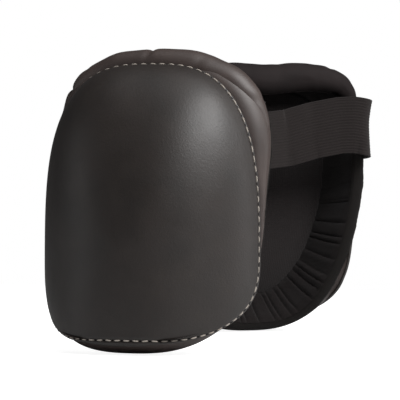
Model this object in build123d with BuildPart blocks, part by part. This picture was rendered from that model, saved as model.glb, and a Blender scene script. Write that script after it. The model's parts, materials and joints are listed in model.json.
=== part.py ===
"""A pair of roofer's knee pads: leather caps over padded cups, each with an elastic strap.

Each pad is drawn once in its own frame: x across the knee, y from the front of the cap
(y = 0) back to the leg, z up from the floor.  The left pad is the mirror of the right one.
"""

import os
from math import cos, pi, sin

from build123d import *

os.makedirs("parts", exist_ok=True)

# ---- driving dimensions, mm -------------------------------------------------------------
CAP_HALF_WIDTH = 95.5
CAP_TOP = 240.0
CAP_DEPTH = 85.0  # from the front of the dome to where its sides run straight back
SHOULDER = 86.0  # height at which the straight flanks turn into the dome
PLAN_POWER = 1.86  # superellipse power of the dome seen from above
ARCH_POWER = 2.9  # and seen from the front
EAR_DEPTH = 112.0
EAR_HALF_WIDTH = 104.0
EAR_TOP = 246.0
EAR_POWER = 3.6

LEATHER = 3.0
COVER = 1.4
GAP = 0.2  # between neighbouring layers
COVER_INSET = LEATHER + GAP
BINDING = 2.5
COMFORT_COVERAGE = 6.0  # least thickness of core foam left over the comfort foam

BASE_FLAT = 28.0  # half of the flat the pad stands on
BASE_CORNER = (69.0, 100.0)  # half axes of the rounded lower corners

ROLL_RADIUS = 13.5
ROLL_END_RADIUS = 6.0

STRAP_WIDTH = 50.0
STRAP_THICKNESS = 1.8
STRAP_BOTTOM = 166.0

PAD_CENTRE_DEPTH = 45.0
REAR_PAD_CENTRE = (-7.8, 298.6)
REAR_PAD_TURN = 218.4
PAIR_SHIFT = (-5.147, -154.588)  # brings the pair's middle over the origin


def front_plane(depth):
    """A plane facing forwards, with its own x across the pad and its own y up."""
    return Plane(origin=(0, depth, 0), x_dir=(1, 0, 0), z_dir=(0, -1, 0))


def arch_points(half_width, rise, power, foot):
    """Superellipse arch standing on the height `foot`, from its right end to its left end."""
    points = []
    for step in range(13):
        angle = pi * step / 12
        side = 1 if cos(angle) > 0 else -1
        across = side * half_width * abs(cos(angle)) ** (2 / power)
        points.append((across, foot + rise * sin(angle) ** (2 / power)))
    return points


def arch_face(depth, half_width, rise, power):
    """The pad's outline at one depth: an arch on two straight flanks that run below the floor."""
    with BuildSketch(front_plane(depth)) as outline:
        with BuildLine():
            points = arch_points(half_width, rise, power, SHOULDER)
            Spline(*points, tangents=((0, 1), (0, -1)))
            Polyline(points[-1], (-half_width, -20), (half_width, -20), points[0])
        make_face()
    return outline.sketch


def dome(inset):
    """The outer form of the whole pad, drawn in by `inset` from the cap's outer face."""
    with BuildPart() as form:
        for degrees in (9, 22, 36, 50, 64, 78, 90):
            angle = pi * degrees / 180
            scale = sin(angle) ** (2 / PLAN_POWER)
            depth = inset + (CAP_DEPTH - inset) * (1 - cos(angle) ** (2 / PLAN_POWER))
            rise = CAP_TOP - SHOULDER - inset
            add(arch_face(depth, scale * (CAP_HALF_WIDTH - inset), scale * rise, ARCH_POWER))
        ear_rise = EAR_TOP - SHOULDER - inset
        add(arch_face(EAR_DEPTH, EAR_HALF_WIDTH - inset, ear_rise, EAR_POWER))
        loft()
    return form.part


def base_prism(inset):
    """Front-view outline of the padded body: a flat foot, rounded lower corners, open top."""
    reach = BASE_FLAT + BASE_CORNER[0] - inset
    half_axes = (BASE_CORNER[0] - inset, BASE_CORNER[1] - inset)
    with BuildPart() as prism:
        with BuildSketch(front_plane(130)):
            with BuildLine():
                Line((-BASE_FLAT, inset), (BASE_FLAT, inset))
                EllipticalCenterArc((BASE_FLAT, BASE_CORNER[1]), *half_axes, start_angle=270, arc_size=90)
                Polyline((reach, BASE_CORNER[1]), (110, 200), (110, 270), (-110, 270), (-110, 200),
                         (-reach, BASE_CORNER[1]))
                EllipticalCenterArc((-BASE_FLAT, BASE_CORNER[1]), *half_axes, start_angle=180, arc_size=90)
            make_face()
        extrude(amount=140)
    return prism.part


def side_prism(edge, setback):
    """Everything in front of an edge drawn in side view, moved forwards by `setback`."""
    with BuildPart() as prism:
        with BuildSketch(Plane.YZ):
            with BuildLine():
                points = [(depth - setback, height) for depth, height in edge]
                Spline(*points)
                Polyline(points[-1], (-10, points[-1][1]), (-10, points[0][1]), points[0])
            make_face()
        extrude(amount=120, both=True)
    return prism.part


CAP_EDGE = ((-8, 10.5), (4, 11), (21, 17), (40, 28), (64, 50), (76, 72), (78, 100), (78, 150), (74.5, 270))
RIM_EDGE = ((40, -12), (44, 2), (68, 40), (82, 80), (89, 130), (101, 172), (104, 202), (99, 229), (92, 262))
LINING_EDGE = ((22, 8), (30, 36), (39, 62), (46, 100), (49, 150), (54, 185), (66, 216), (88, 262))
CORE_EDGE = ((10, 8), (16, 36), (22, 62), (26, 100), (28, 150), (35, 185), (51, 216), (76, 262))


def body_form(inset):
    """The padded body under the cap, drawn in by `inset` from its cover."""
    with BuildPart() as form:
        add(dome(COVER_INSET + inset))
        add(base_prism(inset), mode=Mode.INTERSECT)
    return form.part


def cup_face(depth, half_width, bottom, top):
    """The knee cup's outline at one depth."""
    radius = 0.72 * half_width
    with BuildSketch(front_plane(depth)) as outline:
        with Locations((0, (bottom + top) / 2)):
            RectangleRounded(2 * half_width, top - bottom, radius)
    return outline.sketch


def cup(grow):
    """The hollow the knee goes into, made larger by `grow` on every side wall."""
    with BuildPart() as form:
        add(cup_face(6, 46 + grow, 62 - grow, 170 + grow))
        add(cup_face(30, 57 + grow, 36 - grow, 194 + grow))
        add(cup_face(47, 65.5 + grow, 12 - grow, 206 + grow))
        add(cup_face(66, 69.5 + grow, 11 - grow, 221 + grow))
        add(cup_face(118, 86 + grow, 8.5 - grow, 225 + grow))
        loft(ruled=True)
    return form.part


def roll(radius_change):
    """The collar's roll: an arch from ear to ear, thick over the top and thin at its ends."""
    path = []
    for step in range(9):
        angle = pi * (18 + 144 * step / 8) / 180
        side = 1 if cos(angle) > 0 else -1
        across = side * 84 * abs(cos(angle)) ** 0.8
        path.append((across, 89 + 2.6 * (across / 84) ** 2, 168 + 72 * sin(angle) ** 0.8))
    spine = Spline(*path)
    with BuildPart() as form:
        for step in range(9):
            place = step / 8
            plane = Plane(origin=spine @ place, x_dir=(0, 1, 0), z_dir=spine % place)
            swell = sin(pi * place) ** 0.6 if 0 < place < 1 else 0
            radius = ROLL_END_RADIUS + (ROLL_RADIUS - ROLL_END_RADIUS) * swell
            with BuildSketch(plane):
                Circle(radius + radius_change)
        loft()
    return form.part


# ---- shared forms -------------------------------------------------------------------------
cap_cut = side_prism(CAP_EDGE, 0)
welt_cut = side_prism([(depth + 2.4, height - 2.2) for depth, height in CAP_EDGE], 0)
rim_cut = side_prism(RIM_EDGE, 0)
layer_cut = side_prism(RIM_EDGE, BINDING + GAP)
lining_front = side_prism(LINING_EDGE, 2.0)
lining_back = side_prism(LINING_EDGE, 0)
core_back = side_prism(CORE_EDGE, 0)
lining_front_clear = side_prism(LINING_EDGE, 2.0 + GAP)
gusset_front = side_prism(LINING_EDGE, -GAP)
cup_surface = cup(0)
comfort_limit = dome(COVER_INSET + COVER + COMFORT_COVERAGE)
comfort_room = cup(COVER + GAP) - side_prism(CORE_EDGE, GAP)
comfort_room = comfort_room & dome(COVER_INSET + COVER + COMFORT_COVERAGE - GAP)
knee_room = cup(COVER + GAP) - side_prism(LINING_EDGE, 2.0 + 2 * GAP)
roll_room = roll(GAP)

# ---- leather cap --------------------------------------------------------------------------
with BuildPart() as cap:
    add(dome(0))
    add(dome(LEATHER), mode=Mode.SUBTRACT)
    add(cap_cut, mode=Mode.INTERSECT)

with BuildPart() as cap_welt:
    add(dome(0.9))
    add(dome(LEATHER), mode=Mode.SUBTRACT)
    add(welt_cut, mode=Mode.INTERSECT)
    add(side_prism([(depth + 0.2, height - 0.2) for depth, height in CAP_EDGE], 0), mode=Mode.SUBTRACT)
    add(roll_room, mode=Mode.SUBTRACT)


def dome_depth(across, height):
    """Depth of the cap's outer face behind its front, at one place in front view."""
    scale = abs(across) / CAP_HALF_WIDTH
    if height > SHOULDER:
        lift = (height - SHOULDER) / (CAP_TOP - SHOULDER)
        scale = (scale**ARCH_POWER + lift**ARCH_POWER) ** (1 / ARCH_POWER)
    return CAP_DEPTH * (1 - (1 - scale**PLAN_POWER) ** (1 / PLAN_POWER))


def seam_point(angle):
    """A point of the lock-stitched seam that runs round the cap just inside its edge."""
    across = 94.2 * (1 if cos(angle) > 0 else -1) * abs(cos(angle)) ** (2 / ARCH_POWER)
    reach = 151.1 if sin(angle) > 0 else -71.3
    height = SHOULDER + reach * abs(sin(angle)) ** (2 / ARCH_POWER)
    return Vector(across, dome_depth(across, height), height)


def even_places(curve, pitch):
    """Points and directions spaced by `pitch` along a closed curve given as a function."""
    fine = [curve(2 * pi * step / 1440) for step in range(1441)]
    total = sum((there - here).length for here, there in zip(fine, fine[1:]))
    pitch = total / round(total / pitch)
    travelled = pitch / 2
    places = []
    for here, there in zip(fine, fine[1:]):
        travelled += (there - here).length
        if travelled >= pitch:
            travelled -= pitch
            places.append((there, (there - here).normalized()))
    return places


def stitch_row(places, length, thickness):
    """Short stitches of six-sided thread, one at each place, lying along the row."""
    with BuildPart() as row:
        for point, direction in places:
            with BuildSketch(Plane(origin=point - direction * (length / 2), z_dir=direction)):
                RegularPolygon(thickness / 2, 6)
            extrude(amount=length)
    return row.part


outward = 1.1
cap_seam = []
for point, direction in even_places(seam_point, 8.4):
    away = Vector(point.X, point.Y - CAP_DEPTH, max(point.Z - SHOULDER, 0)).normalized()
    cap_seam.append((point + away * outward, direction))

with BuildPart() as cap_stitching:
    add(stitch_row(cap_seam, 5.6, 1.1))

# ---- padded body --------------------------------------------------------------------------
with BuildPart() as outer_cover:
    add(body_form(0))
    add(layer_cut, mode=Mode.INTERSECT)
    add(body_form(COVER), mode=Mode.SUBTRACT)
    add(roll_room, mode=Mode.SUBTRACT)

with BuildPart() as core_foam:
    add(body_form(COVER + GAP))
    add(layer_cut, mode=Mode.INTERSECT)
    add(comfort_room, mode=Mode.SUBTRACT)
    add(knee_room, mode=Mode.SUBTRACT)
    add(roll_room, mode=Mode.SUBTRACT)

with BuildPart() as comfort_foam:
    add(cup(COVER))
    add(lining_front_clear, mode=Mode.INTERSECT)
    add(core_back, mode=Mode.SUBTRACT)
    add(comfort_limit, mode=Mode.INTERSECT)

with BuildPart() as lining_panel:
    add(cup(-GAP))
    add(lining_back, mode=Mode.INTERSECT)
    add(lining_front, mode=Mode.SUBTRACT)

with BuildPart() as gusset:
    add(cup(COVER))
    add(cup_surface, mode=Mode.SUBTRACT)
    add(layer_cut, mode=Mode.INTERSECT)
    add(gusset_front, mode=Mode.SUBTRACT)
    add(roll_room, mode=Mode.SUBTRACT)

with BuildPart() as rim_binding:
    add(body_form(0))
    add(rim_cut, mode=Mode.INTERSECT)
    add(side_prism(RIM_EDGE, BINDING), mode=Mode.SUBTRACT)
    add(cup_surface, mode=Mode.SUBTRACT)
    add(roll_room, mode=Mode.SUBTRACT)

# ---- collar roll --------------------------------------------------------------------------
with BuildPart() as collar_cover:
    add(roll(0))
    add(roll(-COVER), mode=Mode.SUBTRACT)

with BuildPart() as collar_foam:
    add(roll(-COVER - GAP))


# ---- strap attachments, drawn on the +x ear ----------------------------------------------
def ear_patch():
    """Leather patch glued to the ear's outer wall under a sewn strap end."""
    with BuildPart() as patch:
        add(dome(COVER_INSET - GAP - 1.2))
        add(dome(COVER_INSET - GAP), mode=Mode.SUBTRACT)
        with Locations((90, 89, 176)):
            Box(60, 17, 44, mode=Mode.INTERSECT)
        add(roll_room, mode=Mode.SUBTRACT)
    return patch.part


def band(*path):
    """A strap standing on edge along a path seen from above; its last stretch is straight."""
    with BuildPart() as strap:
        with BuildSketch(Plane.XY.offset(STRAP_BOTTOM)):
            with BuildLine():
                Spline(*path[:-1])
                Line(path[-2], path[-1])
            trace(line_width=STRAP_THICKNESS)
        extrude(amount=STRAP_WIDTH)
    return strap.part


def root():
    """The end of a strap, lying back along the ear and sewn down there."""
    return band((94.2, 82.5), (95.7, 87.5), (96.9, 92), (99.05, 101.5))


def root_stitches():
    """Three upright rows of stitches that sew a strap end to its ear."""
    places = []
    for across, depth in ((96.5, 84.2), (97.4, 87.2), (98.3, 90.2)):
        places += [(Vector(across, depth, 172 + 7 * step), Vector(0, 0, 1)) for step in range(6)]
    return stitch_row(places, 4.4, 0.9)


def to_other_ear(part):
    return part.mirror(Plane.YZ)


with BuildPart() as anchor_patch:
    add(ear_patch())

with BuildPart() as strap_root:
    add(root())

with BuildPart() as anchor_stitching:
    add(root_stitches())

with BuildPart() as tab_patch:
    add(to_other_ear(ear_patch()))

with BuildPart() as tab_root:
    add(to_other_ear(root()))

with BuildPart() as tab_stitching:
    add(to_other_ear(root_stitches()))

# ---- straps behind the leg ----------------------------------------------------------------
CLOSURE_START = 14.0  # the hook and loop faces meet between these two places across the pad
CLOSURE_END = 60.0
LONG_DEPTH = 110.9
SHORT_DEPTH = 106.4

with BuildPart() as elastic_strap:
    add(band((99.9, 104.4), (103.6, 110), (98.5, 114.6), (86, 113.8), (60, 107.8), (25, 103), (-2, 108.6),
             (-CLOSURE_START, LONG_DEPTH), (-CLOSURE_END - 2, LONG_DEPTH)))

with BuildPart() as hook_patch:
    with BuildSketch(Plane.XY.offset(STRAP_BOTTOM + 2)):
        with Locations(((-CLOSURE_START - CLOSURE_END) / 2, LONG_DEPTH - 1.65)):
            Rectangle(CLOSURE_END - CLOSURE_START, 0.9)
    extrude(amount=STRAP_WIDTH - 4)

with BuildPart() as short_strap:
    add(band((-99.9, 104.4), (-103.6, 110), (-98.5, 114.6), (-87, 113.4), (-74, 108.4), (-66, 106.8),
             (-CLOSURE_END, SHORT_DEPTH), (-CLOSURE_START + 2, SHORT_DEPTH)))

with BuildPart() as loop_patch:
    with BuildSketch(Plane.XY.offset(STRAP_BOTTOM + 2)):
        with Locations(((-CLOSURE_START - CLOSURE_END) / 2 + 1, SHORT_DEPTH + 1.55)):
            Rectangle(CLOSURE_END - CLOSURE_START - 2, 0.9)
    extrude(amount=STRAP_WIDTH - 4)

# ---- both pads, placed and written --------------------------------------------------------
pad_nodes = {
    "cap": cap,
    "cap_stitching": cap_stitching,
    "cap_welt": cap_welt,
    "outer_cover": outer_cover,
    "core_foam": core_foam,
    "comfort_foam": comfort_foam,
    "lining_panel": lining_panel,
    "gusset": gusset,
    "rim_binding": rim_binding,
    "collar_cover": collar_cover,
    "collar_foam": collar_foam,
    "anchor_patch": anchor_patch,
    "strap_root": strap_root,
    "anchor_stitching": anchor_stitching,
    "tab_patch": tab_patch,
    "tab_root": tab_root,
    "tab_stitching": tab_stitching,
    "elastic_strap": elastic_strap,
    "hook_patch": hook_patch,
    "short_strap": short_strap,
    "loop_patch": loop_patch,
}

to_centre = Location((0, -PAD_CENTRE_DEPTH, 0))
left_place = Location((*PAIR_SHIFT, 0)) * to_centre
rear_centre = (REAR_PAD_CENTRE[0] + PAIR_SHIFT[0], REAR_PAD_CENTRE[1] + PAIR_SHIFT[1], 0)
right_place = Location(rear_centre, (0, 0, REAR_PAD_TURN)) * to_centre

for name, node in pad_nodes.items():
    left = left_place * node.part
    left.label = f"left_{name}"
    export_step(left, f"parts/left_{name}.step")
    right = right_place * node.part.mirror(Plane.YZ)
    right.label = f"right_{name}"
    export_step(right, f"parts/right_{name}.step")
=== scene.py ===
"""The pair of knee pads, dressed over its CAD frame: leather caps, padded collars, felt rims,
gathered side walls and ribbed elastic straps.  Lengths are in metres."""

import json
from math import atan2, cos, pi, radians, sin

import bpy
import numpy as np
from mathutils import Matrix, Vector


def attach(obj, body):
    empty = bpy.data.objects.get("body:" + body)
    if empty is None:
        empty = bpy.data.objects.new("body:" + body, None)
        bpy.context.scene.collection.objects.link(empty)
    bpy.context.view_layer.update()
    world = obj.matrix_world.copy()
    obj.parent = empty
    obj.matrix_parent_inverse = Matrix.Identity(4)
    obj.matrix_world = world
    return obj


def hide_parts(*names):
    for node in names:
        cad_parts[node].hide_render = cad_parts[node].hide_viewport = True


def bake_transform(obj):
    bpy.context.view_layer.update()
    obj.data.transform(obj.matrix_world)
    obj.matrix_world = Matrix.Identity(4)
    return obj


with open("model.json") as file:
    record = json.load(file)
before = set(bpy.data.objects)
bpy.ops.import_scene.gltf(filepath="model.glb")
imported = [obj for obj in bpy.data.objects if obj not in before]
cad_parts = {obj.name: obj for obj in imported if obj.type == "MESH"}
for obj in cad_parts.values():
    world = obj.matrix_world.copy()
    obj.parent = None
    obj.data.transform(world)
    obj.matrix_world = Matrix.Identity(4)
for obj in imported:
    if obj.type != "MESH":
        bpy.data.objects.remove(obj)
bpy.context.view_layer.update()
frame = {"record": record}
record = frame["record"]

MM = 0.001
TURNS = 288  # steps round each closed outline

# ---- the pad's own frame: x across, y from the cap's front back to the leg, z up ------------
HINGE = (99.5, 103.6)  # where the long strap turns
FOOT = (0.0, 26.0)  # the middle of the flat that the pad stands on
BODY_MIDDLE = np.array([0, 60, 110])  # a point inside the padded body

SQUEEZE = {"left": 1.0, "right": 0.962}  # share of its true width that each pad is given
EAR_TUCK = {"left": 6.5, "right": 0.0}  # how far the -x ear is pushed in behind the cap
EAR_DEPTH, EAR_DEPTH_RISE = 74, 20  # the push starts at this depth and is full this much further
EAR_HEIGHT, EAR_HEIGHT_RISE = 80, 70  # and the same for its height
TUCK_REACH = 60  # distance from the middle over which the push grows to its full size
FOOT_DRAW = {"left": 0.0, "right": 0.11}  # share by which the lower corners are drawn in
DRAW_HEIGHT, DRAW_FALL = 135, 85  # the drawing in starts at this height and is full this far below


class Placement:
    """Takes points in mm in one pad's own frame, fits them to that pad and gives them in metres
    in the shared frame.  The right pad mirrors the left."""

    def __init__(self, side):
        self.side = side
        self.flip = 1.0 if side == "left" else -1.0
        foot = next(m["pos_m"] for m in record["mounts"] if m["name"] == f"{side}_foot")
        joints = record["behaviour"]["joints"]
        hinge = next(j["pos_m"] for j in joints if j["name"] == f"{side}_strap_open")
        own = atan2(HINGE[1] - FOOT[1], self.flip * HINGE[0])
        self.turn = atan2(hinge[1] - foot[1], hinge[0] - foot[0]) - own
        self.foot = foot

    def __call__(self, points):
        points = np.atleast_2d(np.asarray(points, float))
        ear = np.clip((points[:, 1] - EAR_DEPTH) / EAR_DEPTH_RISE, 0, 1)
        ear *= np.clip((points[:, 2] - EAR_HEIGHT) / EAR_HEIGHT_RISE, 0, 1)
        tuck = EAR_TUCK[self.side] * ear * np.clip(-points[:, 0] / TUCK_REACH, 0, 1)
        draw = 1 - FOOT_DRAW[self.side] * np.clip((DRAW_HEIGHT - points[:, 2]) / DRAW_FALL, 0, 1)
        x = self.flip * (points[:, 0] * SQUEEZE[self.side] * draw + tuck) * MM
        y = (points[:, 1] - FOOT[1]) * MM
        out = np.empty_like(points)
        out[:, 0] = self.foot[0] + x * cos(self.turn) - y * sin(self.turn)
        out[:, 1] = self.foot[1] + x * sin(self.turn) + y * cos(self.turn)
        out[:, 2] = points[:, 2] * MM
        return out

    def point(self, x, y, z):
        return tuple(self((x, y, z))[0])


# ---- outlines -------------------------------------------------------------------------------
CAP_WIDTH, CAP_TOP, CAP_BOTTOM, CAP_MIDDLE = 95.0, 240.2, 9.4, 86.0
CAP_SIDE_DEPTH, CAP_TOP_DEPTH, CAP_BOTTOM_DEPTH = 79.0, 75.0, 2.5
DOME_POWER = 1.86
UPPER_POWER, LOWER_POWER = 2.9, 3.3


def signed_power(value, power):
    return np.sign(value) * np.abs(value) ** power


def cap_outline(angle):
    """Cap edge in front view, and its depth, for angles measured from +x towards the top."""
    c, s = np.cos(angle), np.sin(angle)
    power = np.where(s > 0, UPPER_POWER, LOWER_POWER)
    x = CAP_WIDTH * signed_power(c, 2 / power)
    reach = np.where(s > 0, CAP_TOP - CAP_MIDDLE, CAP_MIDDLE - CAP_BOTTOM)
    z = CAP_MIDDLE + reach * signed_power(s, 2 / power)
    above = CAP_SIDE_DEPTH * c**2 + CAP_TOP_DEPTH * s**2
    side_share = np.abs(c) ** 1.5
    below = CAP_SIDE_DEPTH * side_share + CAP_BOTTOM_DEPTH * (1 - side_share)
    return x, np.where(s > 0, above, below), z


def dome_profile(scale):
    """Depth of the dome as a share of the edge's depth; flat at the middle, steep at the edge."""
    soft = 0.18
    lifted = (scale**2 + soft**2) ** (DOME_POWER / 2) - soft**DOME_POWER
    lifted = lifted / ((1 + soft**2) ** (DOME_POWER / 2) - soft**DOME_POWER)
    return 1 - np.maximum(1 - lifted, 0) ** (1 / DOME_POWER)


def cap_surface(angle, scale):
    x, depth, z = cap_outline(angle)
    return np.stack(
        [x * scale, depth * dome_profile(scale), CAP_MIDDLE + (z - CAP_MIDDLE) * scale], axis=-1
    )


def rim_depth(z):
    """Depth of the padded body's back edge at each height."""
    return np.interp(z, (-5, 4, 12, 24, 40, 60, 80, 105, 130, 150, 172, 202, 229, 250),
                     (44, 46, 53, 61, 69, 76, 82, 86, 89, 95, 101, 104, 99.5, 94))


def smooth_rim_depth(z):
    return sum(rim_depth(z + shift) for shift in (-12, -8, -4, 0, 4, 8, 12)) / 7


def ring(angle, width, middle, bottom, top, low_power, high_power):
    """A rounded closed outline in front view, squarer where its power is larger."""
    c, s = np.cos(angle), np.sin(angle)
    power = np.where(s > 0, high_power, low_power)
    x = width * signed_power(c, 2 / power)
    reach = np.where(s > 0, top - middle, middle - bottom)
    return x, middle + reach * signed_power(s, 2 / power)


RIM_WIDTH = {"left": 96.0, "right": 95.0}
RIM_TOP = {"left": 245.0, "right": 239.0}
RIM_POWER = {"left": 3.4, "right": 3.8}
EAR_SWELL = {"left": 0.016, "right": -0.026}
EAR_SET_BACK = {"left": 0.0, "right": 7.0}
RIM_THICKNESS = 12.0


def ear_depth(z, side):
    return smooth_rim_depth(z) - EAR_SET_BACK[side] * np.clip((z - 130) / 50, 0, 1)


def rim_outer(angle, side):
    x, z = ring(angle, RIM_WIDTH[side], 130, 3.2, RIM_TOP[side], 2.75, RIM_POWER[side])
    width = 1 + EAR_SWELL[side] * np.exp(-(((z - 182) / 34) ** 2))
    return np.stack([x * width, ear_depth(z, side), z], axis=-1)


def rim_inner(angle, side):
    inside = RIM_WIDTH[side] - RIM_THICKNESS
    x, z = ring(angle, inside, 138, 9.8, RIM_TOP[side] - RIM_THICKNESS, 2.8, RIM_POWER[side] - 0.1)
    return np.stack([x, ear_depth(z, side) - 0.8, z], axis=-1)


def lining_depth(z):
    """Depth of the knee lining at each height."""
    return np.interp(z, (8, 30, 50, 75, 105, 150, 185, 205, 222, 240),
                     (24, 31, 37, 43, 48, 50.5, 56, 62, 69, 78))


LINING_MIDDLE = 128


def lining_outline(angle, share=1.0):
    """The lining's seam, or the same outline shrunk towards its middle."""
    x, z = ring(angle, 69.5, 150, 33.0, 221.0, 2.4, 3.3)
    x, z = x * share, LINING_MIDDLE + (z - LINING_MIDDLE) * share
    depth = sum(lining_depth(z + shift) for shift in (-9, -3, 3, 9)) / 4
    return np.stack([x, depth, z], axis=-1)


def by_direction(curve, count=TURNS, middle=120.0, first=0.0, last=2 * pi):
    """Points of a closed curve where rays from the pad's middle cross it."""
    points = curve(np.linspace(0, 2 * pi, 2881))
    heading = np.arctan2(points[:, 2] - middle, points[:, 0])
    whole = abs(last - first) > 2 * pi - 1e-6
    wanted = np.linspace(first, last, count, endpoint=not whole)
    crossed = [np.interp(wanted, heading, points[:, i], period=2 * pi) for i in range(3)]
    return np.stack(crossed, axis=-1)


# ---- mesh helpers ---------------------------------------------------------------------------
def make_object(name, points, faces, place):
    """One mesh from points in the pad's own frame."""
    placed = place(points)
    if place.flip < 0:
        faces = [tuple(reversed(face)) for face in faces]
    mesh = bpy.data.meshes.new(name)
    mesh.from_pydata([tuple(p) for p in placed], [], faces)
    mesh.polygons.foreach_set("use_smooth", [True] * len(mesh.polygons))
    mesh.update()
    piece = bpy.data.objects.new(name, mesh)
    bpy.context.collection.objects.link(piece)
    return piece


def grid_faces(rows, columns, close_columns, close_rows=False):
    """Quads over a grid of points numbered row by row."""
    faces = []
    for i in range(rows if close_rows else rows - 1):
        for j in range(columns if close_columns else columns - 1):
            a = i * columns + j
            b = i * columns + (j + 1) % columns
            c = ((i + 1) % rows) * columns + (j + 1) % columns
            d = ((i + 1) % rows) * columns + j
            faces.append((a, b, c, d))
    return faces


def wave_noise(x, y, seed):
    """Smooth repeatable noise between about -1 and 1."""
    total = 0
    for octave in range(1, 5):
        a, b, c = sin(seed * 1.7 + octave), cos(seed * 2.3 - octave), seed * 3.1 * octave
        total = total + np.sin(x * octave * (1 + 0.5 * a) + y * octave * (0.8 + 0.4 * b) + c) / octave
    return total / 2.1


def normals_of(points):
    """Unit normals of a grid of points given as rows x columns x 3, columns closed."""
    along = np.roll(points, -1, axis=1) - np.roll(points, 1, axis=1)
    across = np.gradient(points, axis=0)
    normal = np.cross(along, across)
    return normal / np.maximum(np.linalg.norm(normal, axis=-1, keepdims=True), 1e-9)


def tube(name, centres, radii_a, radii_b, side_a, place, around=20, closed=False, bumps=None):
    """A sweep of an ellipse; side_a gives the direction of its first half axis at each centre."""
    count = len(centres)
    if closed:
        tangent = np.roll(centres, -1, axis=0) - np.roll(centres, 1, axis=0)
    else:
        tangent = np.gradient(centres, axis=0)
    tangent /= np.linalg.norm(tangent, axis=1, keepdims=True)
    side_a = side_a - tangent * np.sum(side_a * tangent, axis=1, keepdims=True)
    side_a /= np.linalg.norm(side_a, axis=1, keepdims=True)
    side_b = np.cross(tangent, side_a)
    turn = np.linspace(0, 2 * pi, around, endpoint=False)
    half_a = np.broadcast_to(radii_a, count)[:, None, None] * side_a[:, None, :]
    half_b = np.broadcast_to(radii_b, count)[:, None, None] * side_b[:, None, :]
    offset = np.cos(turn)[None, :, None] * half_a + np.sin(turn)[None, :, None] * half_b
    if bumps is not None:
        offset = offset * bumps(np.arange(count)[:, None] / count, turn[None, :])[..., None]
    points = (centres[:, None, :] + offset).reshape(-1, 3)
    faces = grid_faces(count, around, True, close_rows=closed)
    if not closed:
        faces.append(tuple(range(around)))
        faces.append(tuple(range((count - 1) * around, count * around))[::-1])
    return make_object(name, points, faces, place)


PUFF_FRAMES = 14


def puff(piece, seams, pressure, limit):
    """Fills a padded piece by a short cloth simulation; its seam points stay where they are."""
    group = piece.vertex_groups.new(name="seams")
    group.add([int(index) for index in seams], 1.0, "REPLACE")
    cloth = piece.modifiers.new("padding", "CLOTH")
    cloth.settings.quality = 6
    cloth.settings.mass = 0.02
    cloth.settings.tension_stiffness = cloth.settings.compression_stiffness = 5
    cloth.settings.bending_stiffness = 0.05
    cloth.settings.use_pressure = True
    cloth.settings.uniform_pressure_force = pressure
    cloth.settings.effector_weights.gravity = 0
    cloth.settings.vertex_group_mass = "seams"
    cloth.point_cache.frame_end = PUFF_FRAMES
    for step in range(1, PUFF_FRAMES + 1):
        bpy.context.scene.frame_set(step)
    filled = piece.evaluated_get(bpy.context.evaluated_depsgraph_get()).data
    before = np.empty(3 * len(piece.data.vertices))
    after = np.empty_like(before)
    piece.data.vertices.foreach_get("co", before)
    filled.vertices.foreach_get("co", after)
    move = (after - before).reshape(-1, 3)
    length = np.linalg.norm(move, axis=1, keepdims=True)
    move *= np.minimum(1, limit * MM / np.maximum(length, 1e-9))
    piece.modifiers.remove(cloth)
    piece.vertex_groups.remove(group)
    piece.data.vertices.foreach_set("co", before + move.ravel())
    piece.data.update()
    bpy.context.scene.frame_set(1)


# ---- pieces ---------------------------------------------------------------------------------
def rows_by_distance(angle, distances):
    """Cap points at given distances from the edge, measured along the leather."""
    scales = np.linspace(0, 1, 401) ** 0.6
    fine = cap_surface(angle[None, :], scales[:, None])
    steps = np.linalg.norm(np.diff(fine, axis=0), axis=-1)
    from_edge = np.concatenate([np.cumsum(steps[::-1], axis=0)[::-1], np.zeros((1, len(angle)))])
    points = np.empty((len(distances), len(angle), 3))
    for column in range(len(angle)):
        far = from_edge[:, column][::-1]
        for axis in range(3):
            points[:, column, axis] = np.interp(distances, far, fine[::-1, column, axis])
    return points


def even_angles(count):
    """Angles whose cap-edge points are evenly spaced."""
    fine = np.linspace(0, 2 * pi, 4001)
    edge = cap_surface(fine, np.ones_like(fine))
    run = np.concatenate([[0], np.cumsum(np.linalg.norm(np.diff(edge, axis=0), axis=1))])
    return np.interp(np.linspace(0, run[-1], count, endpoint=False), run, fine)


SEAM_FROM_EDGE = 3.6
LEATHER = 3.0
CUT_EDGE = ((0.35, 0.5), (0.5, 1.4), (0.35, 2.5), (-0.2, LEATHER))  # outwards, and below the face


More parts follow.
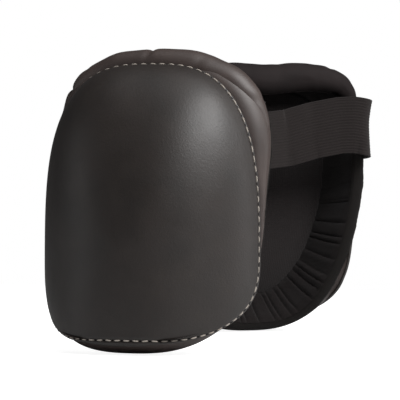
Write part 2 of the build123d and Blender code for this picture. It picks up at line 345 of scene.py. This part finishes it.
def cap_piece(side, place):
    """Moulded leather: crowned face, a sunk stitch line, a rounded cut edge and its inner face."""
    angle = even_angles(TURNS)
    near = np.array([0, 0.6, 1.2, 1.8, 2.4, 3.0, 3.6, 4.2, 4.8, 5.6, 7, 9, 12, 16, 21, 27])
    close = rows_by_distance(angle, near)
    border = cap_surface(angle, np.ones_like(angle))
    start_scale = np.linalg.norm(close[-1][:, [0, 2]] - [0, CAP_MIDDLE], axis=1)
    start_scale /= np.linalg.norm(border[:, [0, 2]] - [0, CAP_MIDDLE], axis=1)
    rest = [cap_surface(angle, start_scale * share) for share in np.linspace(1, 0, 34)[1:-1]]
    outer = np.concatenate([close, np.stack(rest)])
    normal = normals_of(outer)
    normal *= np.sign(np.sum(normal * (outer - BODY_MIDDLE), axis=-1, keepdims=True))
    seam_groove = -0.75 * np.exp(-(((near - SEAM_FROM_EDGE) / 0.9) ** 2))
    outer_swell = 0.35 * np.exp(-(((near - 1.5) / 1.1) ** 2))
    inner_swell = 0.3 * np.exp(-(((near - 6.5) / 2.2) ** 2))
    relief = np.zeros(len(outer))
    relief[: len(near)] = seam_groove
    relief[: len(near)] += outer_swell + inner_swell
    soft = 0.35 * wave_noise(outer[..., 0] / 34, outer[..., 2] / 40, 3)
    fade = np.minimum(np.linspace(0, 3, len(outer)), 1)[:, None]
    outer = outer + normal * (relief[:, None] + soft * fade)[..., None]
    edge, edge_normal = outer[0], normal[0]
    ahead = edge - outer[1]
    ahead /= np.linalg.norm(ahead, axis=1, keepdims=True)
    lip = [edge + ahead * out - edge_normal * down for out, down in CUT_EDGE]
    inside = [outer[i] - normal[i] * LEATHER for i in range(2, len(outer))]
    rows = inside[::-1] + lip[::-1] + list(outer)
    points = np.stack(rows)
    count = len(rows)
    flat = points.reshape(-1, 3)
    centre_out = outer[-1].mean(axis=0)
    centre_in = inside[-1].mean(axis=0)
    flat = np.concatenate([flat, [centre_in, centre_out]])
    faces = grid_faces(count, TURNS, True)
    inner_hub, outer_hub = count * TURNS, count * TURNS + 1
    for j in range(TURNS):
        faces.append((inner_hub, (j + 1) % TURNS, j))
        faces.append((outer_hub, (count - 1) * TURNS + j, (count - 1) * TURNS + (j + 1) % TURNS))
    return make_object(f"{side}_leather_cap", flat, faces, place)


def stitch_shape(length, width, height):
    """A plump thread stitch that dives at both ends: points along x, up in z."""
    points, faces = [], []
    rings, around = 9, 8
    for i in range(rings):
        u = -1 + 2 * i / (rings - 1)
        swell = max(1 - abs(u) ** 3.5, 0.02) ** 0.5
        for j in range(around):
            a = 2 * pi * j / around
            dive = 0.35 * u**4
            points.append((u * length / 2, cos(a) * width / 2 * swell, sin(a) * height / 2 * swell - dive))
    faces = grid_faces(rings, around, True)
    faces.append(tuple(range(around)))
    faces.append(tuple(range((rings - 1) * around, rings * around))[::-1])
    return np.array(points), faces


def scatter(name, shape, centres, forwards, ups, place, wobble=0.0):
    """Copies of one small shape laid along a seam."""
    base, base_faces = shape
    points, faces = [], []
    for index, (centre, forward, up) in enumerate(zip(centres, forwards, ups)):
        forward = forward / np.linalg.norm(forward)
        across = np.cross(up, forward)
        across /= np.linalg.norm(across)
        lean = wobble * sin(index * 2.4)
        forward, across = forward * cos(lean) + across * sin(lean), across * cos(lean) - forward * sin(lean)
        up = np.cross(forward, across)
        start = len(points) * len(base)
        points.append(centre + base[:, :1] * forward + base[:, 1:2] * across + base[:, 2:] * up)
        faces += [tuple(start + v for v in face) for face in base_faces]
    return make_object(name, np.concatenate(points), faces, place)


STITCH_SPACING = 8.4


def cap_seam(side, place):
    """Lock stitch round the cap: pale thread on top, and between stitches a near-black blob sunk in each
    needle hole as painted shade.
    """
    edge = cap_surface(np.linspace(0, 2 * pi, 2001), np.ones(2001))
    run = np.linalg.norm(np.diff(edge, axis=0), axis=1).sum()
    count = int(round(run / STITCH_SPACING))
    angle = even_angles(2 * count)
    rows = rows_by_distance(angle, SEAM_FROM_EDGE + np.array([-0.8, 0, 0.8]))
    on_seam = rows[1]
    forward = np.roll(on_seam, -1, axis=0) - np.roll(on_seam, 1, axis=0)
    up = np.cross(forward, rows[2] - rows[0])
    up /= np.linalg.norm(up, axis=1, keepdims=True)
    up *= np.sign(np.sum(up * (on_seam - BODY_MIDDLE), axis=1, keepdims=True))
    thread = scatter(f"{side}_seam_thread", stitch_shape(5.3, 1.3, 1.3), (on_seam + up * 0.05)[::2],
                     forward[::2], up[::2], place, wobble=0.10)
    # The holes are near-black blobs sunk below the leather: painted shade in each needle hole.
    holes = scatter(f"{side}_needle_holes", stitch_shape(2.0, 1.5, 0.9), (on_seam - up * 0.35)[1::2],
                    forward[1::2], up[1::2], place)
    return thread, holes


def welt_piece(side, place):
    """The turned leather edge that shows as a second line just outside the cap."""
    angle = even_angles(TURNS)
    rows = rows_by_distance(angle, np.array([0.0, 1.5]))
    ahead = rows[0] - rows[1]
    ahead /= np.linalg.norm(ahead, axis=1, keepdims=True)
    normal = normals_of(np.stack([rows[0], rows[1], rows[1] * 2 - rows[0]]))[0]
    normal *= np.sign(np.sum(normal * (rows[0] - BODY_MIDDLE), axis=-1, keepdims=True))
    centres = rows[0] + ahead * 0.9 - normal * 2.6
    return tube(f"{side}_cap_welt", centres, 1.35, 0.9, ahead, place, around=12, closed=True)


def cover_piece(side, place):
    """Soft outer cover between the cap's edge and the felt rim, filled out over the ears."""
    edge = by_direction(lambda a: cap_surface(a, np.ones_like(a)))
    rim = by_direction(lambda a: rim_outer(a, side))
    heading = np.linspace(0, 2 * pi, TURNS, endpoint=False)
    outward = np.stack([np.cos(heading), np.zeros(TURNS), np.sin(heading)], axis=-1)
    outward[:, 0] *= 1.15
    outward /= np.linalg.norm(outward, axis=1, keepdims=True)
    below = np.clip((60 - edge[:, 2]) / 45, 0, 1)[:, None]
    ear = np.exp(-(((rim[:, 2] - 180) / 42) ** 2))[:, None]
    back = np.array([0, 1.0, 0])
    span = (rim[:, 1] - edge[:, 1])[:, None]
    tucked = edge - outward * 3.4 - back * np.clip(edge[:, 1:2] - 6, -2, 7)
    start = edge - outward * 3.3 + back * 0.5
    rise = np.sum((rim - start) * outward, axis=1, keepdims=True)
    first = start + outward * np.maximum(rise * 0.75 + 2.2 * ear, 0.8) + back * (0.04 * span + 0.6)
    second = rim + outward * (0.8 + 4.4 * ear + 6.6 * below) - back * (0.48 * span)
    rows = [tucked]
    for t in np.linspace(0, 1, 20):
        ends = start * (1 - t) ** 3 + 3 * first * t * (1 - t) ** 2
        rows.append(ends + 3 * second * t**2 * (1 - t) + rim * t**3)
    rows.append(rim - outward * 2.5 + back * 0.2)
    points = np.stack(rows)
    v = np.linspace(0, 1, len(rows))[:, None]
    swell = np.sin(pi * np.clip(v, 0, 1)) * 0.5 * wave_noise(heading[None, :] * 5, v * 3, 8)
    points = points + outward[None] * swell[..., None]
    points[..., 2] = np.maximum(points[..., 2], 0.3)
    outward_faces = [tuple(reversed(face)) for face in grid_faces(len(rows), TURNS, True)]
    return make_object(f"{side}_outer_cover", points.reshape(-1, 3), outward_faces, place)


# Each collar from one end to its middle: across, depth, height and radius.
COLLAR = {
    "left": ((92, 90, 140, 1.5), (92.5, 94, 163, 5), (89, 96, 190, 8), (80, 94.5, 211, 10.8),
             (66, 92, 225.5, 12.6), (36, 89.5, 237, 13.6), (0, 88.5, 240, 13.6)),
    "right": ((82, 88, 188, 1.5), (83, 90, 205, 5), (80, 90, 217, 8), (71, 89, 226.5, 10.3),
              (56, 88, 232, 11.8), (34, 87, 233, 12.8), (0, 86.5, 231, 13.4)),
}
# Each crease's place along the collar, direction round it, depth and width.
CREASES = {
    "left": ((0.235, 2.2, 0.20, 0.011), (0.30, 1.5, 0.06, 0.01), (0.475, 1.9, 0.12, 0.008),
             (0.78, 1.7, 0.08, 0.014), (0.60, 2.6, 0.05, 0.01)),
    "right": ((0.33, 1.2, 0.08, 0.012), (0.52, 0.8, 0.06, 0.015), (0.70, 1.6, 0.07, 0.012)),
}


def collar_piece(side, place):
    """Padded roll from ear to ear, thick over the top, with pinched creases.
    Its knee-facing side has the lining's material."""
    share = np.linspace(0, 1, 160)
    lean = (share - 0.5) * 2
    key = np.array([-1, -0.88, -0.72, -0.55, -0.4, -0.2, 0, 0.2, 0.4, 0.55, 0.72, 0.88, 1])
    across, depth, height, thick = np.array(COLLAR[side]).T
    x = np.interp(lean, key, np.concatenate([-across, across[-2::-1]]))
    y, z, radius = (np.interp(lean, key, np.concatenate([half, half[-2::-1]]))
                    for half in (depth, height, thick))
    kernel = np.hanning(15) / np.hanning(15).sum()
    x, y, z, radius = (np.convolve(np.pad(k, 7, mode="edge"), kernel, mode="valid")
                       for k in (x, y, z, radius))
    centres = np.stack([x, y, z], axis=-1)

    def bumps(along, turn):
        bump = 1 + 0.035 * wave_noise(along * 30, turn * 1.0, 5)
        for place_along, spin, deep, wide in CREASES[side]:
            near = np.exp(-(((along - place_along - 0.01 * np.sin(turn)) / wide) ** 2))
            facing = np.clip(np.cos(turn - spin), 0, 1) ** 1.5
            bump = bump - deep * near * facing
        return bump

    depthwards = np.tile([0, 1.0, 0], (len(centres), 1))
    around = 40
    collar = tube(f"{side}_collar", centres, radius, radius * 1.02, depthwards, place, around, bumps=bumps)
    collar.data.materials.append(collar_vinyl.material)
    collar.data.materials.append(collar_lining.material)
    for index, face in enumerate(collar.data.polygons):
        if cos(2 * pi * (index % around + 0.5) / around) > 0.2:
            face.material_index = 1
    return collar


def felt_rim(side, place):
    """Felt binding folded over the back edge, from the top of one ear down and up to the other."""
    first, last = radians(-238), radians(58)
    steps = 400
    outer = by_direction(lambda a: rim_outer(a, side), steps, first=first, last=last)
    inner = by_direction(lambda a: rim_inner(a, side), steps, first=first, last=last)
    across = outer - inner
    half = np.linalg.norm(across, axis=1) / 2
    half = np.minimum(half, 6.2) + 0.5
    middle = outer - across / np.linalg.norm(across, axis=1, keepdims=True) * (half - 0.7)[:, None]
    from_end = np.minimum(np.arange(steps), np.arange(steps)[::-1])
    taper = np.minimum(from_end / 25, 1) ** 0.5
    middle[:, 1] -= 0.6
    middle[:, 2] = np.maximum(middle[:, 2], 5.8)

    def fuzz(along, turn):
        return 1 + 0.06 * wave_noise(along * 260, turn * 2, 2) + 0.03 * wave_noise(along * 900, turn * 5, 9)

    return tube(f"{side}_felt_rim", middle, half * taper, 2.3 * taper, across, place, bumps=fuzz)


def gusset_piece(side, place):
    """Gathered cloth wall between the lining's seam and the rim, with pleats."""
    count = 900
    seam = by_direction(lambda a: lining_outline(a), count)
    rim = by_direction(lambda a: rim_inner(a, side), count)
    heading = np.linspace(0, 2 * pi, count, endpoint=False)
    run = np.linalg.norm(np.roll(rim, -1, axis=0) - rim, axis=1).cumsum()
    low = np.clip((150 - rim[:, 2]) / 60, 0, 1)
    wander = run + 3.2 * np.sin(run * 0.13) + 2.1 * np.sin(run * 0.31 + 1)
    pitch = 11.5 + 4 * np.clip((rim[:, 2] - 60) / 100, 0, 1)
    phase = (1 / pitch * np.gradient(wander)).cumsum() * 2 * pi
    pleat = np.abs(np.sin(phase / 2)) ** 0.45
    inward = -np.stack([np.cos(heading), np.zeros(count), np.sin(heading)], axis=-1)
    rows = []
    for t in np.linspace(-0.05, 1.05, 26):
        fade = np.clip(min(t + 0.12, 1.12 - t) * 4.0, 0, 1)
        skew = np.roll(pleat, int(6 * t))
        lift = (2.6 * low + 0.5) * skew * fade - 0.8
        belly = 1.6 * sin(pi * min(max(t, 0), 1))
        base = seam * (1 - t) + rim * t
        rows.append(base + inward * (lift - belly)[:, None] + np.array([0, 1, 0]) * (0.5 * lift)[:, None])
    points = np.concatenate(rows)
    return make_object(f"{side}_gathered_wall", points, grid_faces(len(rows), count, True), place)


LINING_PRESSURE = 20
LINING_PUFF_LIMIT = 3.0


def lining_piece(side, place):
    """Brushed knit cushion at the bottom of the cup, crowned and pulled in at its seam."""
    count = 200
    rows = []
    shares = np.concatenate([[1.03], np.linspace(1.0, 0.02, 40)])
    heading = np.linspace(0, 2 * pi, count, endpoint=False)
    for share in shares:
        outline = by_direction(lambda a: lining_outline(a, min(share, 1.0)), count, LINING_MIDDLE)
        crown = 5.5 * (1 - min(share, 1) ** 5) - (2.5 if share > 1 else 0)
        dent = 0.5 * wave_noise(np.cos(heading) * share * 4, np.sin(heading) * share * 5, 4)
        outline[:, 1] += crown - 1.5 + dent * (1 - share**6)
        outline[:, 0] *= 1.03 if share > 1 else 1
        rows.append(outline)
    front = [np.stack([row[:, 0], row[:, 1] - 4.0, row[:, 2]], axis=-1) for row in (rows[0], rows[-1])]
    stack = [front[1], front[0]] + rows
    points = np.stack(stack).reshape(-1, 3)
    faces = grid_faces(len(stack), count, True)
    faces.append(tuple(range(count))[::-1])
    faces.append(tuple(range((len(stack) - 1) * count, len(stack) * count)))
    outward = [tuple(reversed(face)) for face in faces]
    lining = make_object(f"{side}_knee_lining", points, outward, place)
    ring_of = np.arange(len(points)) // count
    seams = np.flatnonzero((ring_of <= 4) | (ring_of >= len(stack) - 1))
    puff(lining, seams, LINING_PRESSURE, LINING_PUFF_LIMIT)
    return lining


def smooth_path(keys, count):
    """A rounded path through plan points with their heights, evenly stepped."""
    keys = np.array(keys, float)
    run = np.concatenate([[0], np.cumsum(np.linalg.norm(np.diff(keys[:, :2], axis=0), axis=1))])
    fine = np.linspace(0, run[-1], 1200)
    path = np.stack([np.interp(fine, run, keys[:, i]) for i in range(keys.shape[1])], axis=-1)
    kernel = np.hanning(61) / np.hanning(61).sum()
    padded = np.concatenate([path[:1] * 2 - path[30:0:-1], path, path[-1:] * 2 - path[-2:-32:-1]])
    columns = [np.convolve(padded[:, i], kernel, mode="valid") for i in range(keys.shape[1])]
    path = np.stack(columns, axis=-1)
    length = np.concatenate([[0], np.cumsum(np.linalg.norm(np.diff(path[:, :2], axis=0), axis=1))])
    even = np.linspace(0, length[-1], count)
    return np.stack([np.interp(even, length, path[:, i]) for i in range(keys.shape[1])], axis=-1)


STRAP_WIDTH = 51.0
RIB_HEIGHT = 0.16


def ribbon(name, keys, place, width=STRAP_WIDTH, thickness=1.7, ribs=20, count=150, shift=0.0):
    """Woven elastic standing on edge: fine lengthwise ribs and slightly thicker selvedges."""
    path = smooth_path(keys, count)
    tangent = np.gradient(path[:, :3], axis=0)
    tangent /= np.linalg.norm(tangent, axis=1, keepdims=True)
    flat = np.stack([-tangent[:, 1], tangent[:, 0], np.zeros(count)], axis=-1)
    flat /= np.linalg.norm(flat, axis=1, keepdims=True)
    upward = np.cross(tangent, flat)
    steps = ribs * 6 + 1
    v = np.linspace(-0.5, 0.5, steps)
    rib = RIB_HEIGHT * np.cos(v * ribs * 2 * pi)
    selvedge = 0.25 * np.exp(-(((np.abs(v) - 0.485) / 0.012) ** 2))
    half = thickness / 2 + rib + selvedge
    half[0] = half[-1] = 0.3
    loop_v = np.concatenate([v, v[::-1]])
    loop_half = np.concatenate([half, -half[::-1]])
    lean = path[:, 3:4]
    points = (path[:, None, :3]
              + upward[:, None, :] * (loop_v * width)[None, :, None]
              + flat[:, None, :] * (loop_half[None, :] + shift + lean * loop_v[None, :])[..., None])
    around = len(loop_v)
    faces = grid_faces(count, around, True)
    faces.append(tuple(range(around))[::-1])
    faces.append(tuple(range((count - 1) * around, count * around)))
    return make_object(name, points.reshape(-1, 3), faces, place)


# x, y, height of the middle, and how far the top leans out over the bottom.  The left pad's
# strap ends are tucked in behind its ears; the right pad's lie on the outside of its own.
LONG_STRAP = {
    "left": ((80, 103.5, 183, 0), (84.5, 106, 183, 0), (86, 109.5, 183, 0), (83, 112.6, 184, 0),
             (74, 111.2, 184, 0), (62, 108, 184, 0), (40, 104.6, 182, 0), (14, 104.2, 178, 0),
             (-6, 109.2, 176, 0), (-18, 110.9, 176, 0), (-40, 110.9, 176, 0), (-62, 110.9, 177, 0)),
    "right": ((92, 80.5, 184, 2), (93.3, 90, 184.3, 2), (93.8, 98, 184.8, 2), (94, 106, 185.8, 2),
              (92, 111, 187, 1), (87, 112.5, 188.5, 0), (78, 111.5, 190, 0), (65, 108.5, 189.5, 0),
              (40, 104.6, 185, 0), (14, 104.2, 178, 0), (-6, 109.2, 176, 0), (-18, 110.9, 176, 0),
              (-40, 110.9, 176, 0), (-62, 110.9, 177, 0)),
}
SHORT_STRAP = {
    "left": ((-80, 103.5, 183, 0), (-84.5, 106, 183, 0), (-86, 109, 183, 0), (-83, 111.6, 183, 0),
             (-74, 109.4, 181, 0), (-66, 107, 179, 0), (-60, 106.5, 178, 0), (-40, 106.4, 176, 0),
             (-13, 106.4, 176, 0)),
    "right": ((-92, 80.5, 187, -2), (-93.3, 90, 187, -3), (-93.8, 98, 187.5, -3), (-94, 106, 188, -3),
              (-92, 110.5, 188.5, -2), (-86, 111, 186, 0), (-72, 108.2, 182, 0), (-60, 106.5, 178, 0),
              (-40, 106.4, 176, 0), (-13, 106.4, 176, 0)),
}
CLOSURE = ((-16, 110.9, 176, 0), (-37, 110.9, 176, 0), (-58, 110.9, 176.5, 0))
TAPE = {"width": 46, "thickness": 0.9, "ribs": 30, "count": 40}
HOOK_SHIFT, LOOP_SHIFT = 1.75, 2.95  # from the strap's middle plane towards the tab
TURN_HEIGHT = 190
SEWN_AT = {"left": (1.5, 3.5, 5.5), "right": (5, 8.5, 12)}
# The turn is measured along a diagonal, so the strap's dip behind the knee stays past its end.
TURNS_AT = {"left": ((85, 107.6), (81.4, 112.4)), "right": ((93.8, 99), (87.8, 107))}


SEWN_STITCHES = 11  # in each upright row
SEWN_SPACING = 4.1


def box_stitches(side, name, keys, place):
    """Three upright rows of thread that hold a strap end to its ear."""
    path = smooth_path(keys, 400)
    sign = np.sign(path[0, 0])
    run = np.cumsum(np.linalg.norm(np.diff(path[:, :2], axis=0), axis=1))
    centres, forwards, ups = [], [], []
    for distance in SEWN_AT[side]:
        here = int(np.searchsorted(run, distance))
        tangent = path[here + 1, :3] - path[here, :3]
        out = np.array([tangent[1], -tangent[0], 0]) * sign
        out /= np.linalg.norm(out)
        for step in range(SEWN_STITCHES):
            above = (step - SEWN_STITCHES // 2) * SEWN_SPACING
            middle = np.array([path[here, 0], path[here, 1], path[here, 2] + above])
            lean = -path[here, 3] * sign * above / STRAP_WIDTH
            centres.append(middle + out * (1.15 + lean))
            forwards.append(np.array([0, 0, 1.0]))
            ups.append(out)
    return scatter(f"{side}_{name}", stitch_shape(3.4, 1.0, 0.9), centres, forwards, ups, place)


# ---- materials ------------------------------------------------------------------------------
class Shader:
    """A small helper round one material's node tree."""

    def __init__(self, name, colour, roughness, **sockets):
        self.material = bpy.data.materials.new(name)
        self.material.use_nodes = True
        self.tree = self.material.node_tree
        self.bsdf = self.tree.nodes["Principled BSDF"]
        self.bsdf.inputs["Base Color"].default_value = (*colour, 1)
        self.bsdf.inputs["Roughness"].default_value = roughness
        for key, value in sockets.items():
            self.bsdf.inputs[key.replace("_", " ")].default_value = value
        self.coordinates = self.tree.nodes.new("ShaderNodeTexCoord").outputs["Object"]
        self.height = None

    def node(self, kind, **values):
        node = self.tree.nodes.new(kind)
        for key, value in values.items():
            if key in node.inputs:
                node.inputs[key].default_value = value
            else:
                setattr(node, key, value)
        return node

    def link(self, output, socket):
        self.tree.links.new(output, socket)

    def noise(self, scale, detail=4.0, roughness=0.55):
        node = self.node("ShaderNodeTexNoise", Scale=scale, Detail=detail, Roughness=roughness)
        self.link(self.coordinates, node.inputs["Vector"])
        return node.outputs["Fac"]

    def cells(self, scale):
        node = self.node("ShaderNodeTexVoronoi", feature="F1", Scale=scale)
        self.link(self.coordinates, node.inputs["Vector"])
        return node.outputs["Distance"]

    def ramp(self, value, stops):
        node = self.node("ShaderNodeValToRGB")
        self.link(value, node.inputs["Fac"])
        elements = node.color_ramp.elements
        while len(elements) < len(stops):
            elements.new(0.5)
        for element, (position, colour) in zip(elements, stops):
            element.position = position
            element.color = (*colour, 1)
        return node.outputs["Color"]

    def vary_colour(self, value, stops):
        self.link(self.ramp(value, stops), self.bsdf.inputs["Base Color"])

    def vary_roughness(self, value, low, high):
        node = self.node("ShaderNodeMapRange")
        node.inputs["To Min"].default_value = low
        node.inputs["To Max"].default_value = high
        self.link(value, node.inputs["Value"])
        self.link(node.outputs["Result"], self.bsdf.inputs["Roughness"])

    def bump(self, value, strength, distance):
        node = self.node("ShaderNodeBump", Strength=strength, Distance=distance)
        self.link(value, node.inputs["Height"])
        if self.height is not None:
            self.link(self.height, node.inputs["Normal"])
        self.height = node.outputs["Normal"]
        self.link(self.height, self.bsdf.inputs["Normal"])


def shades(colour, dark, light):
    return [(0.3, tuple(c * dark for c in colour)), (0.72, tuple(c * light for c in colour))]


def leather_material(name, colour, roughness, grain, coarse=1.0):
    """Tanned hide: fine cell grain, faint wrinkles, uneven dye and polish."""
    shader = Shader(name, colour, roughness)
    shader.vary_colour(shader.noise(38 / coarse, 5), shades(colour, 0.78, 1.25))
    shader.vary_roughness(shader.noise(60, 4), roughness - 0.05, roughness + 0.08)
    shader.bump(shader.cells(1500 / coarse), 0.35 * grain, 0.00012)
    shader.bump(shader.noise(520 / coarse, 6), 0.45 * grain, 0.00026)
    shader.bump(shader.noise(24, 2), 0.22, 0.0012)
    return shader


def cloth_material(name, colour, scale, fuzz, sheen):
    """Matt cloth with a short nap."""
    shader = Shader(name, colour, 0.95, Sheen_Weight=sheen, Sheen_Roughness=0.6, Specular_IOR_Level=0.2)
    shader.vary_colour(shader.noise(scale, 6, 0.75), shades(colour, 0.6, 1.5))
    shader.bump(shader.noise(scale * 2.2, 5, 0.8), fuzz, 0.0005)
    return shader


def woven(shader, scale, strength, distance):
    """Crossed fine threads, one set upright and one level."""
    bands = []
    for direction in ("X", "Z"):
        wave = shader.node("ShaderNodeTexWave", Scale=scale, Distortion=0.6, bands_direction=direction)
        wave.inputs["Detail Scale"].default_value = 2.0
        shader.link(shader.coordinates, wave.inputs["Vector"])
        bands.append(wave.outputs["Fac"])
    both = shader.node("ShaderNodeMath", operation="ADD")
    shader.link(bands[0], both.inputs[0])
    shader.link(bands[1], both.inputs[1])
    shader.bump(both.outputs["Value"], strength, distance)


CAP_COLOUR = (0.0115, 0.0080, 0.0066)
COVER_COLOUR = (0.034, 0.0235, 0.0205)

cap_leather = leather_material("cap_leather", CAP_COLOUR, 0.47, 1.1)
cover_vinyl = leather_material("cover_vinyl", COVER_COLOUR, 0.5, 0.55, coarse=1.2)
collar_vinyl = leather_material("collar_vinyl", COVER_COLOUR, 0.5, 0.5, coarse=1.2)
collar_lining = leather_material("collar_lining", (0.0115, 0.0085, 0.0085), 0.8, 0.4, coarse=1.2)
collar_lining.bsdf.inputs["Specular IOR Level"].default_value = 0.15
welt_leather = leather_material("welt_leather", (0.018, 0.014, 0.012), 0.55, 0.8)
thread = cloth_material("seam_thread", (0.27, 0.24, 0.21), 900, 0.5, 0.1)
# Near-black colour for the needle holes: painted shade in the pits between stitches.
hole = cloth_material("needle_hole_shade", (0.004, 0.003, 0.003), 900, 0.4, 0.0)
felt = cloth_material("binding_felt", (0.0040, 0.0028, 0.0023), 900, 1.0, 0.03)
lining = cloth_material("lining_felt", (0.0115, 0.0088, 0.0088), 700, 0.5, 0.08)
woven(lining, 190, 0.35, 0.0003)
gusset_cloth = cloth_material("gusset_cloth", (0.0048, 0.0030, 0.0029), 500, 0.5, 0.05)
woven(gusset_cloth, 260, 0.4, 0.0003)
elastic = cloth_material("elastic_webbing", (0.0100, 0.0072, 0.0068), 1300, 0.4, 0.06)
hook = cloth_material("hook_tape", (0.008, 0.008, 0.008), 1600, 1.0, 0.05)
loop = cloth_material("loop_tape", (0.012, 0.011, 0.011), 1100, 1.0, 0.4)


def dress(piece, shader, body, slot, *replaced):
    piece.data.materials.clear()
    piece.data.materials.append(shader.material)
    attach(piece, body)
    if replaced:
        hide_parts(*replaced)
    return piece


# ---- both pads ------------------------------------------------------------------------------
for side in ("left", "right"):
    place = Placement(side)
    pad, strap_body = f"{side}_pad", f"{side}_strap"
    dress(cap_piece(side, place), cap_leather, pad, "cap_leather", f"{side}_cap")
    seam, holes = cap_seam(side, place)
    dress(seam, thread, pad, "seam_thread", f"{side}_cap_stitching")
    dress(holes, hole, pad, "seam_thread")
    dress(welt_piece(side, place), welt_leather, pad, "welt_leather", f"{side}_cap_welt")
    dress(cover_piece(side, place), cover_vinyl, pad, "cover_vinyl",
          f"{side}_outer_cover", f"{side}_core_foam")
    collar = collar_piece(side, place)
    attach(collar, pad)
    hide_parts(f"{side}_collar_cover", f"{side}_collar_foam")
    dress(felt_rim(side, place), felt, pad, "binding_felt", f"{side}_rim_binding")
    dress(gusset_piece(side, place), gusset_cloth, pad, "gusset_cloth", f"{side}_gusset")
    cushion = dress(lining_piece(side, place), lining, pad, "lining_felt",
                    f"{side}_lining_panel", f"{side}_comfort_foam")

    strap = ribbon(f"{side}_elastic", LONG_STRAP[side], place)
    strap.data.materials.append(elastic.material)
    start, end = (place.point(*turn, TURN_HEIGHT) for turn in TURNS_AT[side])
    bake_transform(strap)
    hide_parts(f"{side}_elastic_strap", f"{side}_strap_root", f"{side}_anchor_patch")
    tab = ribbon(f"{side}_elastic_tab", SHORT_STRAP[side], place)
    dress(tab, elastic, pad, "elastic_webbing",
          f"{side}_short_strap", f"{side}_tab_root", f"{side}_tab_patch")
    hooks = ribbon(f"{side}_hook_tape", CLOSURE, place, shift=HOOK_SHIFT, **TAPE)
    dress(hooks, hook, strap_body, "hook_tape", f"{side}_hook_patch")
    loops = ribbon(f"{side}_loop_tape", CLOSURE, place, shift=LOOP_SHIFT, **TAPE)
    dress(loops, loop, pad, "loop_tape", f"{side}_loop_patch")
    sewn = box_stitches(side, "anchor_thread", LONG_STRAP[side], place)
    dress(sewn, thread, pad, "seam_thread", f"{side}_anchor_stitching")
    sewn = box_stitches(side, "tab_thread", SHORT_STRAP[side], place)
    dress(sewn, thread, pad, "seam_thread", f"{side}_tab_stitching")

# ---- camera, light and floor ----------------------------------------------------------------
AZIMUTH, ELEVATION = radians(21.9), radians(1.1)
DISTANCE = 2.605
SENSOR_WIDTH, FOCAL_LENGTH = 36, 283.23  # mm
AIM_RIGHT, AIM_DOWN = 0.05066, 0.003146  # the view's middle, from the left pad's

left_place = Placement("left")
aim = Vector(left_place.point(0, 45, 130))
back = Vector((sin(AZIMUTH) * cos(ELEVATION), -cos(AZIMUTH) * cos(ELEVATION), sin(ELEVATION)))
right = Vector((cos(AZIMUTH), sin(AZIMUTH), 0))
target = aim + right * AIM_RIGHT - Vector((0, 0, AIM_DOWN))
camera_data = bpy.data.cameras.new("camera")
camera_data.sensor_width = SENSOR_WIDTH
camera_data.lens = FOCAL_LENGTH
camera_data.clip_end = 50
camera = bpy.data.objects.new("camera", camera_data)
bpy.context.collection.objects.link(camera)
camera.location = aim + back * DISTANCE
camera.rotation_euler = (target - camera.location).to_track_quat("-Z", "Y").to_euler()
bpy.context.scene.camera = camera


LIT_POINT = Vector((0, 0, 0.12))


def softbox(name, from_direction, distance, width, height, power):
    """A soft rectangular lamp that faces the pads."""
    data = bpy.data.lights.new(name, "AREA")
    data.shape = "RECTANGLE"
    data.size, data.size_y = width, height
    data.energy = power
    lamp = bpy.data.objects.new(name, data)
    bpy.context.collection.objects.link(lamp)
    heading = Vector(from_direction).normalized()
    lamp.location = LIT_POINT + heading * distance
    lamp.rotation_euler = (-heading).to_track_quat("-Z", "Y").to_euler()


def seen_from_camera(rightwards, towards, upwards):
    """A direction given as the photographer would: right, towards the camera, up."""
    level = Vector((back.x, back.y, 0)).normalized()
    return right * rightwards + level * towards + Vector((0, 0, upwards))


softbox("key_upper_right", seen_from_camera(0.55, 0.6, 0.75), 1.6, 1.15, 0.85, 40)
softbox("left_strip", seen_from_camera(-1.0, 0.15, 0.15), 1.5, 0.4, 1.2, 2.5)
softbox("right_strip", seen_from_camera(1.0, 0.05, 0.25), 1.5, 0.5, 1.2, 6)
softbox("overhead", seen_from_camera(0.0, 0.1, 1.0), 1.6, 1.6, 1.0, 6)

ROOM_LIGHT = 0.08  # what the object sees round it; the camera sees white
world = bpy.data.worlds.new("studio")
world.use_nodes = True
studio = world.node_tree
backdrop = studio.nodes["Background"]
backdrop.inputs["Color"].default_value = (1, 1, 1, 1)
room = studio.nodes.new("ShaderNodeBackground")
room.inputs["Color"].default_value = (1, 1, 1, 1)
room.inputs["Strength"].default_value = ROOM_LIGHT
either = studio.nodes.new("ShaderNodeMixShader")
studio.links.new(studio.nodes.new("ShaderNodeLightPath").outputs["Is Camera Ray"], either.inputs["Fac"])
studio.links.new(room.outputs["Background"], either.inputs[1])
studio.links.new(backdrop.outputs["Background"], either.inputs[2])
studio.links.new(either.outputs["Shader"], studio.nodes["World Output"].inputs["Surface"])
bpy.context.scene.world = world
bpy.context.scene.view_settings.view_transform = "Standard"

FLOOR_HALF = 0.9
FLOOR_GLOW = 0.9  # seen by the camera alone, so the floor meets the white backdrop
corners = [(-1, -1), (1, -1), (1, 1), (-1, 1)]
floor_mesh = bpy.data.meshes.new("floor")
floor_mesh.from_pydata([(x * FLOOR_HALF, y * FLOOR_HALF, 0) for x, y in corners], [], [(0, 1, 2, 3)])
floor = bpy.data.objects.new("floor", floor_mesh)
bpy.context.collection.objects.link(floor)
floor_paint = Shader("floor_paint", (0.6, 0.6, 0.6), 0.8)
floor_paint.bump(floor_paint.noise(120, 3), 0.03, 0.0002)
glow = floor_paint.node("ShaderNodeMath", operation="MULTIPLY")
floor_paint.link(floor_paint.node("ShaderNodeLightPath").outputs["Is Camera Ray"], glow.inputs[0])
glow.inputs[1].default_value = FLOOR_GLOW
floor_paint.bsdf.inputs["Emission Color"].default_value = (1, 1, 1, 1)
floor_paint.link(glow.outputs["Value"], floor_paint.bsdf.inputs["Emission Strength"])
floor.data.materials.append(floor_paint.material)
